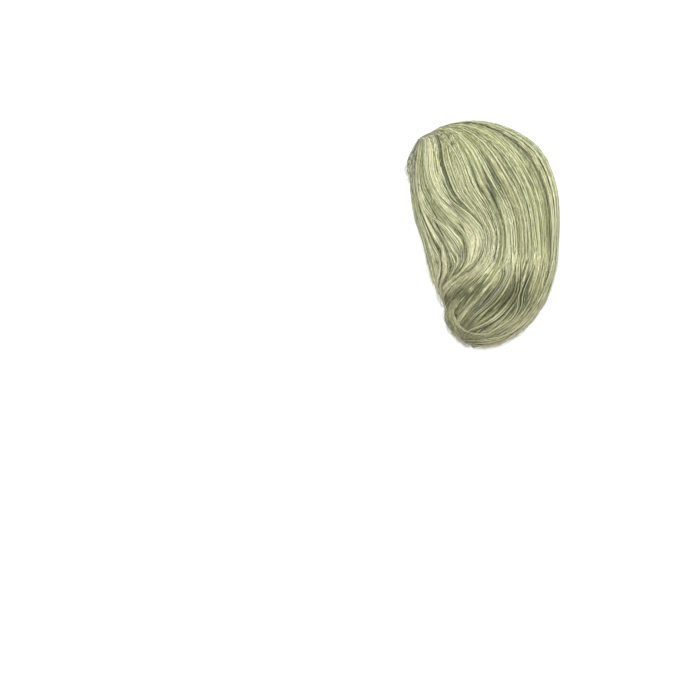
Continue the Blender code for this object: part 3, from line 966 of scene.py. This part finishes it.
plasticLook = {
    "tones": ((0.3, (0.012, 0.011, 0.010)), (0.7, (0.030, 0.028, 0.025))),
    "patches": 60.0,
    "roughness": (0.22, 0.38),
    "peel": 1400.0,
    "bump": (0.12, 0.0002),
}


def objectPlace(tree):
    return addNode(tree, "ShaderNodeTexCoord").outputs["Object"]


def noiseTexture(tree, place, scale, detail):
    inputs = {"Vector": place, "Scale": scale, "Detail": detail}
    return addNode(tree, "ShaderNodeTexNoise", inputs).outputs[0]


def addBump(tree, shader, height, strength, distance):
    inputs = {"Height": height, "Strength": strength, "Distance": distance}
    relief = addNode(tree, "ShaderNodeBump", inputs)
    tree.links.new(relief.outputs[0], shader.inputs["Normal"])


def underMaterial():
    # the short hair below: fine streaks that hang, painted dark as the shade between the strands
    material, tree, shader = newMaterial("underHair")
    scale = (1.0, 1.0, underLook["flattened"])
    stretch = addNode(tree, "ShaderNodeMapping", {0: objectPlace(tree), "Scale": scale})
    streaks = noiseTexture(tree, stretch.outputs[0], underLook["streaks"], 3.0)
    tree.links.new(colourRamp(tree, streaks, underLook["tones"]), shader.inputs["Base Color"])
    addBump(tree, shader, streaks, *underLook["bump"])
    shader.inputs["Roughness"].default_value = underLook["roughness"]
    return material


def clipMaterial():
    # moulded plastic: a faint orange peel and rubbed, slightly paler patches
    material, tree, shader = newMaterial("clawPlastic")
    place = objectPlace(tree)
    patches = noiseTexture(tree, place, plasticLook["patches"], 4.0)
    tree.links.new(colourRamp(tree, patches, plasticLook["tones"]), shader.inputs["Base Color"])
    smoothest, roughest = plasticLook["roughness"]
    inputs = {0: patches, "To Min": smoothest, "To Max": roughest}
    gloss = addNode(tree, "ShaderNodeMapRange", inputs)
    tree.links.new(gloss.outputs[0], shader.inputs["Roughness"])
    addBump(tree, shader, noiseTexture(tree, place, plasticLook["peel"], 2.0), *plasticLook["bump"])
    return material


# Pieces

underShape = {"drawnIn": 0.0008, "merge": 1e-6, "sharpDegrees": 50}


def underLayer(node, material):
    # the solid weft's own shape, drawn in a little and smoothed, below the strands
    shape = bmesh.new()
    shape.from_mesh(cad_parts[node].data)
    bmesh.ops.remove_doubles(shape, verts=shape.verts, dist=underShape["merge"])
    bmesh.ops.recalc_face_normals(shape, faces=shape.faces)
    for vert in shape.verts:
        vert.co -= vert.normal * underShape["drawnIn"]
    mesh = bpy.data.meshes.new(node + "_under")
    shape.to_mesh(mesh)
    shape.free()
    mesh.shade_smooth()
    mesh.set_sharp_from_angle(angle=math.radians(underShape["sharpDegrees"]))
    mesh.materials.clear()
    mesh.materials.append(material)
    piece = placed(mesh.name, mesh)
    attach(piece, "root")
    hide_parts(node)


thinning = 1.0

# What each family of pieces has of its own, beside the values in strandInputs
strandLook = {
    "front_weft": {"Clumps": 170, "Stray Share": 0.04, "Stray Lift": 0.006},
    "middle_weft": {"Clumps": 140, "Uneven Ends": 0.10, "Tone Contrast": 1.4},
    "back_weft": {"Clumps": 160, "Uneven Ends": 0.10, "Stray Lift": 0.004, "Tone Contrast": 1.1},
    "inner_weft": {
        "Strands": 800, "Clumps": 90, "Points": 16, "Crossing": 0.25, "Wander": 0.04,
        "Stray Share": 0.08, "Stray Lift": 0.006,
    },
    "loose_lock": {
        "Strands": 110, "Clumps": 19, "Points": 20, "Uneven Roots": 0.10, "Uneven Ends": 0.30,
        "Stray Share": 0.02, "Layer Depth": 0.0012, "Clump Tone": 0.3, "Crossing": 0.4,
    },
    "rim_lock": {
        "Strands": 260, "Clumps": 44, "Points": 22, "Uneven Roots": 0.10, "Uneven Ends": 0.45,
        "Stray Share": 0.02, "Layer Depth": 0.0012, "Clump Tone": 0.3, "Crossing": 0.3,
    },
    "wisps": {
        "Strands": 44, "Clumps": 11, "Points": 22, "Thickness": 0.00034, "Uneven Roots": 0.6,
        "Uneven Ends": 0.40, "Stray Share": 0.85, "Stray Lift": 0.0055, "Wander": 0.15,
    },
    "crown_cover": {
        "Strands": 380, "Clumps": 70, "Points": 16, "Uneven Ends": 0.30, "Crossing": 0.2,
        "Stray Share": 0.0,
    },
    "pocket": {
        "Strands": 520, "Clumps": 90, "Uneven Ends": 0.45, "Points": 16, "Thickness": 0.0005,
        "Layer Depth": 0.0005, "Clump Height": 0.0003, "Crossing": 0.3, "Stray Share": 0.0,
    },
}

strandHair, underHair, clawPlastic = strandMaterial(), underMaterial(), clipMaterial()
strands = strandTree()
guides = {
    "inner_weft": napeGuide("inner_weft_strands"),
    "pocket_floor": pocketFloorGuide("pocket_floor"),
    "crown_cover": coverGuide("crown_cover"),
    "pocket_roof": pocketRoofGuide("pocket_roof", weftSolids(*sides)),
}
for sideName, side in sides.items():
    for weftName, weft in wefts.items():
        node = sideName + "_" + weftName
        guides[node] = weftGuide(node + "_strands", weft, side)
    wallName = sideName + "_pocket_wall"
    guides[wallName] = pocketWallGuide(wallName, side, weftSolids(sideName))
    for lockName, lock in looseLocks.items():
        name = sideName + "_" + lockName
        guides[name] = lockGuide(name, *lock, side)

triangles = 0
for seed, (node, guide) in enumerate(guides.items(), start=1):
    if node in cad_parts:
        underLayer(node, underHair)
    kind = node.replace("left_", "").replace("right_", "")
    for family in ("wisps", "pocket", "rim_lock"):
        kind = family if family in kind else kind
    settings = {"Strands": strandInputs["Strands"], **strandLook.get(kind, strandLook["loose_lock"])}
    settings["Strands"] = int(settings["Strands"] * thinning)
    piece = dressed(guide, strands, {**settings, "Seed": 20 * seed, "Hair Material": strandHair})
    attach(piece, "root")
    piece.data.calc_loop_triangles()
    triangles += len(piece.data.loop_triangles)
    print("combed", piece.name, len(piece.data.loop_triangles), "triangles")
print("strands in all:", triangles, "triangles")

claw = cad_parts["claw_clip"]
claw.data.materials.clear()
claw.data.materials.append(clawPlastic)
print("claw clip finished")


# The camera, the light and the plain setting

view = {
    "distance": 2.5, "metresPerPixel": 0.00098,
    "seatPixel": (430, 203), "imageSize": 700,
    "sensor": 36, "farthest": 50,
}
data = bpy.data.cameras.new("view")
camera = placed("view", data)
bpy.context.scene.camera = camera
half = view["imageSize"] / 2
camera.location = (
    (half - view["seatPixel"][0]) * view["metresPerPixel"],
    -view["distance"],
    (view["seatPixel"][1] - half) * view["metresPerPixel"],
)
camera.rotation_euler = (math.radians(90), 0, 0)
data.sensor_width = view["sensor"]
data.lens = data.sensor_width * view["distance"] / (view["imageSize"] * view["metresPerPixel"])
data.clip_end = view["farthest"]

room = {
    "floor": -1.1, "ceiling": 2.6,
    "behind": 3.0, "ahead": 3.5, "halfWidth": 3.0,
    "wallGlow": 1.05, "roughness": 0.9,
}


def plainQuad(name, corners, colour, glow):
    mesh = bpy.data.meshes.new(name)
    mesh.from_pydata(corners, [], [(0, 1, 2, 3)])
    material, tree, shader = newMaterial(name)
    shader.inputs["Base Color"].default_value = (*colour, 1)
    shader.inputs["Roughness"].default_value = room["roughness"]
    shader.inputs["Emission Color"].default_value = (1, 1, 1, 1)
    shader.inputs["Emission Strength"].default_value = glow
    mesh.materials.append(material)
    piece = placed(name, mesh)


def studioRoom():
    # a pale floor well below, where a wearer would stand, and a white wall far behind
    low, high, far, near, wide = (
        room[key] for key in ("floor", "ceiling", "behind", "ahead", "halfWidth")
    )
    floor = [(-wide, -near, low), (wide, -near, low), (wide, far, low), (-wide, far, low)]
    wall = [(-wide, far, low), (wide, far, low), (wide, far, high), (-wide, far, high)]
    plainQuad("paleFloor", floor, (0.85, 0.85, 0.84), 0.0)
    plainQuad("whiteWall", wall, (0.0, 0.0, 0.0), room["wallGlow"])


studio = {
    "target": (0.05, 0.0, -0.03),
    # each soft box: its place, how wide it is and its power
    "lights": {
        "key": ((-0.4, -2.3, 0.9), 0.9, 62),
        "fill": ((1.8, -1.8, 0.5), 1.2, 36),
        "top": ((0.3, 0.1, 1.9), 1.2, 10),
        "back": ((-1.6, 1.2, 0.6), 1.0, 14),
    },
    "world": 0.42,
}


def softbox(name, place, width, power):
    light = bpy.data.lights.new(name, "AREA")
    light.shape = "RECTANGLE"
    light.size, light.size_y = width, width
    light.energy = power
    lamp = placed(name, light)
    lamp.location = place
    towards = Vector(studio["target"]) - Vector(place)
    lamp.rotation_euler = towards.to_track_quat("-Z", "Y").to_euler()


studioRoom()
for lightName, (place, width, power) in studio["lights"].items():
    softbox(lightName, place, width, power)
world = bpy.data.worlds.new("studio")
bpy.context.scene.world = world
world.use_nodes = True
background = world.node_tree.nodes["Background"]
background.inputs["Color"].default_value = (1, 1, 1, 1)
background.inputs["Strength"].default_value = studio["world"]
bpy.context.scene.view_settings.view_transform = "Standard"
print("camera and light set")

bpy.context.view_layer.update()
